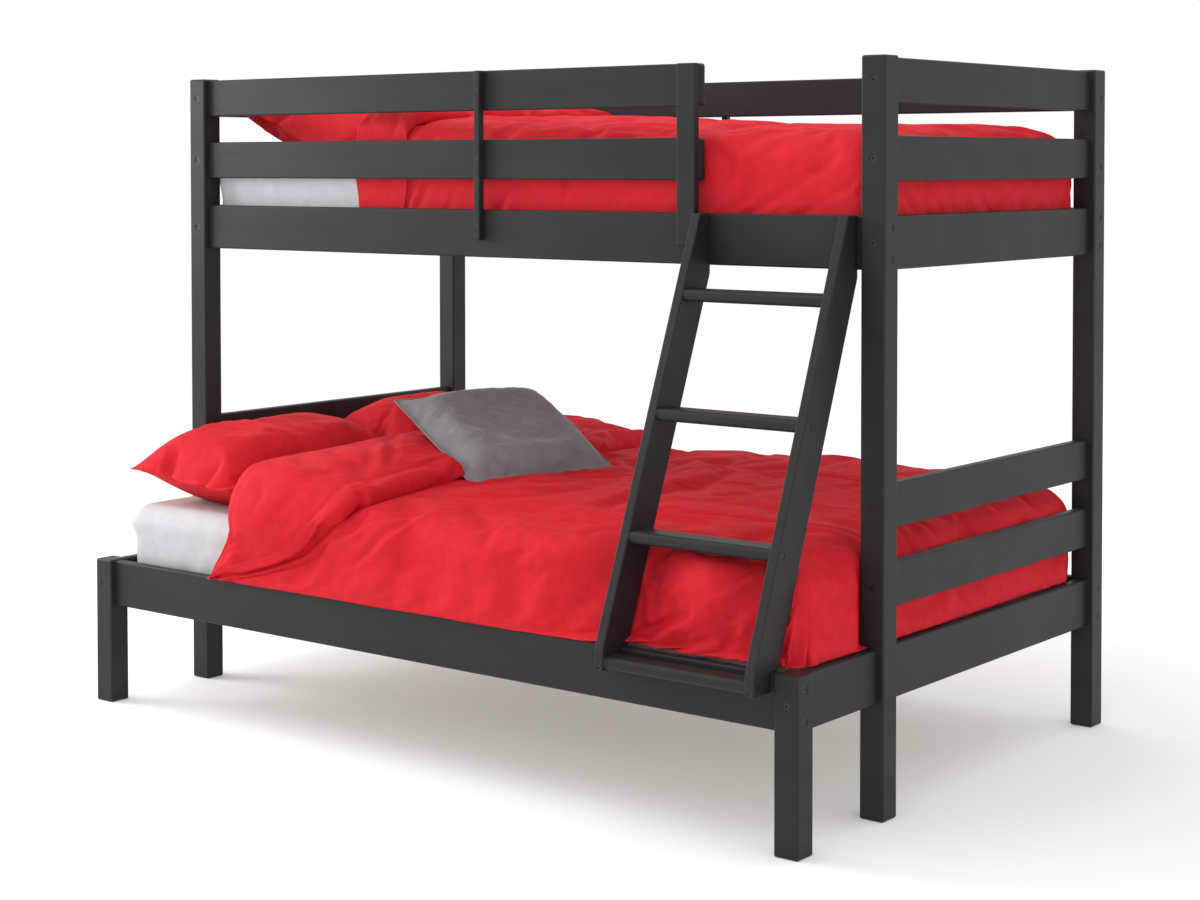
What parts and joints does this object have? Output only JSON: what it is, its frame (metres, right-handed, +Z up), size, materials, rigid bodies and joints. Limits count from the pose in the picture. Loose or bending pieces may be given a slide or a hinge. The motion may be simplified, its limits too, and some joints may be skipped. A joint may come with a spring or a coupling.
{
  "type": "triple sleeper bunk bed",
  "caption": "Painted wood bunk bed with a narrow bunk over a wider lower bed that steps out in front, a slanted ladder, mattresses and bedding.",
  "frame": {"origin": "on the floor, in the middle of the whole footprint", "axes": "+Z up, +X from the head end to the foot end where the ladder is, -Y towards the side with the ladder and the stepped-out lower bed"},
  "size_m": [2.01, 1.352, 1.514],
  "materials": {
    "painted_pine": "satin anthracite paint",
    "slat_pine": "planed, bare",
    "dowel_beech": "bare, fluted",
    "black_bolt_steel": "black, satin",
    "zinc_steel": "zinc plated",
    "mattress_ticking": "matt woven cover",
    "bedding_cotton": "matt red cotton",
    "cushion_velvet": "grey velvet with a soft sheen"
  },
  "bodies": {
    "frame": {"back_bed_side_rail": "painted_pine", "back_bunk_side_rail": "painted_pine", "back_guard_batten": "painted_pine", "back_guard_rail_low": "painted_pine", "back_guard_rail_top": "painted_pine", "barrel_nuts": "zinc_steel", "bed_centre_rail": "slat_pine", "bed_cleats": "slat_pine", "bed_duvet": "bedding_cotton", "bed_mattress": "mattress_ticking", "bed_slats": "slat_pine", "bunk_cleats": "slat_pine", "bunk_slats": "slat_pine", "end_rail_bolts": "black_bolt_steel", "foot_back_post": "painted_pine", "foot_bed_rail": "painted_pine", "foot_bunk_rail": "painted_pine", "foot_front_post": "painted_pine", "foot_guard_rail_low": "painted_pine", "foot_guard_rail_top": "painted_pine", "foot_lower_rail_high": "painted_pine", "foot_lower_rail_mid": "painted_pine", "foot_step_leg": "painted_pine", "foot_step_rail": "painted_pine", "front_bed_side_rail": "painted_pine", "front_bunk_side_rail": "painted_pine", "front_guard_batten": "painted_pine", "front_guard_end_board": "painted_pine", "front_guard_rail_low": "painted_pine", "front_guard_rail_top": "painted_pine", "guard_screws": "black_bolt_steel", "head_back_post": "painted_pine", "head_bed_rail": "painted_pine", "head_bunk_rail": "painted_pine", "head_front_post": "painted_pine", "head_guard_rail_low": "painted_pine", "head_guard_rail_top": "painted_pine", "head_lower_rail_high": "painted_pine", "head_lower_rail_mid": "painted_pine", "head_step_leg": "painted_pine", "head_step_rail": "painted_pine", "joining_rods": "zinc_steel", "ladder_bolts": "black_bolt_steel", "ladder_bottom_tread": "painted_pine", "ladder_foot_stile": "painted_pine", "ladder_head_stile": "painted_pine", "ladder_inserts": "zinc_steel", "ladder_treads": "painted_pine", "side_rail_bolts": "black_bolt_steel", "slat_screws": "zinc_steel", "tread_screws": "black_bolt_steel", "wood_dowels": "dowel_beech"},
    "bunk_mattress_body": {"bunk_mattress": "mattress_ticking"},
    "bunk_duvet_body": {"bunk_duvet": "bedding_cotton"},
    "bunk_pillow_body": {"bunk_pillow": "bedding_cotton"},
    "front_pillow_body": {"front_pillow": "bedding_cotton"},
    "back_pillow_body": {"back_pillow": "bedding_cotton"},
    "cushion_body": {"scatter_cushion": "cushion_velvet"}
  },
  "joints": [
    {"name": "bunk_mattress_lift", "type": "slide", "parent": "frame", "child": "bunk_mattress_body", "axis": [0, 0, 1], "range_m": [0, 0.25]},
    {"name": "bunk_duvet_lift", "type": "slide", "parent": "bunk_mattress_body", "child": "bunk_duvet_body", "axis": [0, 0, 1], "range_m": [0, 0.25]},
    {"name": "bunk_pillow_lift", "type": "slide", "parent": "bunk_mattress_body", "child": "bunk_pillow_body", "axis": [0, 0, 1], "range_m": [0, 0.25]},
    {"name": "front_pillow_lift", "type": "slide", "parent": "frame", "child": "front_pillow_body", "axis": [0, 0, 1], "range_m": [0, 0.3]},
    {"name": "back_pillow_lift", "type": "slide", "parent": "frame", "child": "back_pillow_body", "axis": [0, 0, 1], "range_m": [0, 0.3]},
    {"name": "cushion_lift", "type": "slide", "parent": "frame", "child": "cushion_body", "axis": [0, 0, 1], "range_m": [0, 0.25]}
  ]
}
